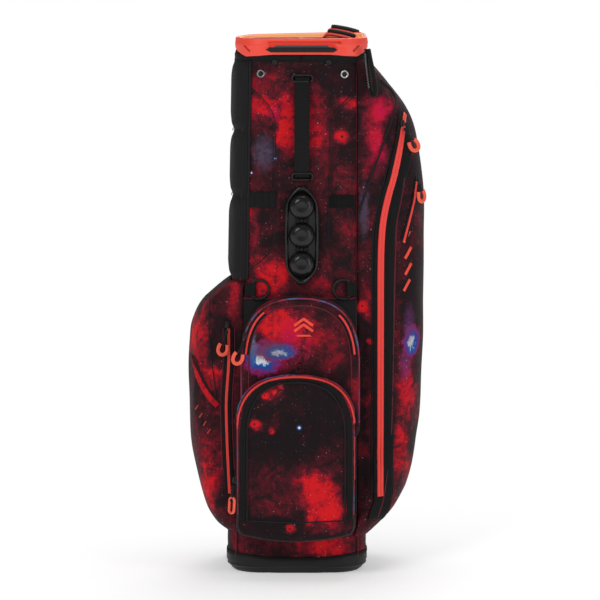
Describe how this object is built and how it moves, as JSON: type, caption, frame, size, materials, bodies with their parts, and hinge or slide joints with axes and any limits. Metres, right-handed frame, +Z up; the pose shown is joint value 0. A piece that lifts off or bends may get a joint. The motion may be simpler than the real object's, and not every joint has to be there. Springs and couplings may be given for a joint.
{
  "type": "golf stand bag",
  "caption": "Upright golf stand bag with divided club wells, zipped pockets, ball holder, carrying straps and a folding two-leg stand driven by its base.",
  "frame": {"origin": "middle of the base's underside, on the floor", "axes": "+Z up the tube, -Y the front with the ball pocket, +X the side of the long pocket"},
  "size_m": [0.3831, 0.3295, 0.884],
  "materials": {
    "printed_fabric": "printed woven polyester, dark red nebula print",
    "black_fabric": "matte black woven polyester",
    "webbing": "black polypropylene webbing",
    "coral_plastic": "satin coral moulding",
    "black_plastic": "satin black moulding",
    "black_rubber": "semi-gloss black rubber",
    "steel": "plated steel",
    "aluminium_tube": "black anodised aluminium"
  },
  "bodies": {
    "bag": {"front_panel": "printed_fabric", "back_panel": "printed_fabric", "left_panel": "printed_fabric", "right_panel": "printed_fabric", "upper_pocket": "printed_fabric", "ball_pocket": "printed_fabric", "left_pocket": "printed_fabric", "right_pocket": "printed_fabric", "hip_pad": "black_fabric", "hook_patch": "black_fabric", "divider_sheets": "black_fabric", "shoulder_strap_left": "black_fabric", "shoulder_strap_right": "black_fabric", "top_binding": "webbing", "handle_strap": "webbing", "pen_loop": "webbing", "d_ring_tab_left": "webbing", "d_ring_tab_right": "webbing", "towel_loop": "webbing", "top_cuff": "coral_plastic", "frame_stay_left": "black_plastic", "frame_stay_right": "black_plastic", "club_divider": "black_plastic", "handle_bracket_top": "black_plastic", "handle_bracket_bottom": "black_plastic", "rivet_left": "black_plastic", "rivet_right": "black_plastic", "strap_anchor_top": "black_plastic", "strap_anchor_bottom": "black_plastic", "leg_bracket": "black_plastic", "base_cup": "black_rubber", "front_grip": "black_rubber", "lift_handle_grip": "black_rubber", "ball_holder": "black_rubber", "foot_plate_pin": "steel", "snap_left": "steel", "snap_right": "steel", "leg_left_pin": "steel", "leg_right_pin": "steel"},
    "leg_left": {"leg_left_knuckle": "black_plastic", "leg_left_tube": "aluminium_tube", "leg_left_foot": "black_rubber"},
    "leg_right": {"leg_right_knuckle": "black_plastic", "leg_right_tube": "aluminium_tube", "leg_right_foot": "black_rubber"},
    "rod_left": {"bow_rod_left": "steel"},
    "rod_right": {"bow_rod_right": "steel"},
    "push_bar": {"push_bar": "steel"},
    "foot_plate": {"foot_plate": "black_rubber"},
    "ring_left": {"d_ring_left": "black_plastic"},
    "ring_right": {"d_ring_right": "black_plastic"},
    "side_zip_pull": {"side_zip_pull": "coral_plastic"},
    "ball_zip_slider": {"ball_zip_slider": "black_plastic"},
    "ball_zip_pull": {"ball_zip_pull": "coral_plastic"},
    "upper_zip_slider": {"upper_zip_slider": "black_plastic"},
    "upper_zip_pull": {"upper_zip_pull": "coral_plastic"},
    "left_zip_slider": {"left_zip_slider": "black_plastic"},
    "left_zip_pull": {"left_zip_pull": "coral_plastic"},
    "right_zip_slider": {"right_zip_slider": "black_plastic"},
    "right_zip_pull": {"right_zip_pull": "coral_plastic"}
  },
  "joints": [
    {"name": "leg_right_swing", "type": "hinge", "parent": "bag", "child": "leg_right", "pos_m": [0.088, 0.126, 0.79], "axis": [0.874, -0.4859, 0], "range_deg": [0, 30]},
    {"name": "leg_left_swing", "type": "hinge", "parent": "bag", "child": "leg_left", "pos_m": [-0.082, 0.126, 0.79], "axis": [0.874, 0.4859, 0], "range_deg": [0, 30.5]},
    {"name": "push_bar_slide", "type": "slide", "parent": "bag", "child": "push_bar", "axis": [0, 0, 1], "range_m": [0, 0.0173]},
    {"name": "rod_right_swing", "type": "hinge", "parent": "push_bar", "child": "rod_right", "pos_m": [0.07314, 0.13426, 0.0125], "axis": [-0.874, 0.4859, 0], "range_deg": [0, 4.88]},
    {"name": "rod_left_swing", "type": "hinge", "parent": "push_bar", "child": "rod_left", "pos_m": [-0.06714, 0.13426, 0.0125], "axis": [-0.874, -0.4859, 0], "range_deg": [0, 4.88]},
    {"name": "foot_plate_rock", "type": "hinge", "parent": "bag", "child": "foot_plate", "pos_m": [0.003, 0.052, 0.013], "axis": [1, 0, 0], "range_deg": [0, 11.2]},
    {"name": "ring_left_flip", "type": "hinge", "parent": "bag", "child": "ring_left", "pos_m": [-0.0683, -0.1129, 0.462], "axis": [0, 0, -1], "range_deg": [0, 150]},
    {"name": "ring_right_flip", "type": "hinge", "parent": "bag", "child": "ring_right", "pos_m": [0.0823, -0.1129, 0.462], "axis": [0, 0, 1], "range_deg": [0, 150]},
    {"name": "ball_zip_travel", "type": "slide", "parent": "bag", "child": "ball_zip_slider", "axis": [0, 0, 1], "range_m": [0, 0.08]},
    {"name": "ball_zip_pull_lift", "type": "hinge", "parent": "ball_zip_slider", "child": "ball_zip_pull", "pos_m": [-0.10094, -0.17441, 0.16], "axis": [-0.7631, 0.6403, 0.0872], "range_deg": [0, 150]},
    {"name": "upper_zip_travel", "type": "hinge", "parent": "bag", "child": "upper_zip_slider", "pos_m": [0.005, -0.148, 0.362], "axis": [0, 1, 0], "range_deg": [0, 150]},
    {"name": "upper_zip_pull_lift", "type": "hinge", "parent": "upper_zip_slider", "child": "upper_zip_pull", "pos_m": [-0.082, -0.1518, 0.388], "axis": [-0.9397, 0, 0.342], "range_deg": [0, 150]},
    {"name": "left_zip_travel", "type": "slide", "parent": "bag", "child": "left_zip_slider", "axis": [-0.0148, 0, -0.9999], "range_m": [0, 0.27]},
    {"name": "left_zip_pull_lift", "type": "hinge", "parent": "left_zip_slider", "child": "left_zip_pull", "pos_m": [-0.111, -0.1103, 0.401], "axis": [-0.9781, 0, 0.2079], "range_deg": [0, 135]},
    {"name": "right_zip_travel", "type": "hinge", "parent": "bag", "child": "right_zip_slider", "pos_m": [0.17223, 0.30266, 0.59316], "axis": [0.9802, -0.0699, -0.1852], "range_deg": [0, 14]},
    {"name": "right_zip_pull_lift", "type": "hinge", "parent": "right_zip_slider", "child": "right_zip_pull", "pos_m": [0.17081, -0.08734, 0.723], "axis": [-0.8002, -0.3731, -0.4695], "range_deg": [0, 150]},
    {"name": "side_zip_travel", "type": "hinge", "parent": "bag", "child": "side_zip_pull", "pos_m": [0.17616, 0.19526, 0.50331], "axis": [0.9834, -0.02, -0.1802], "range_deg": [0, 18]}
  ],
  "couplings": [
    {"joint": "leg_left_swing", "follows": "leg_right_swing", "ratio": 1},
    {"joint": "push_bar_slide", "follows": "leg_right_swing", "m_per_rad": 0.032481},
    {"joint": "rod_right_swing", "follows": "leg_right_swing", "ratio": 0.15754},
    {"joint": "rod_left_swing", "follows": "leg_right_swing", "ratio": 0.15754},
    {"joint": "foot_plate_rock", "follows": "leg_right_swing", "ratio": 0.3668}
  ]
}
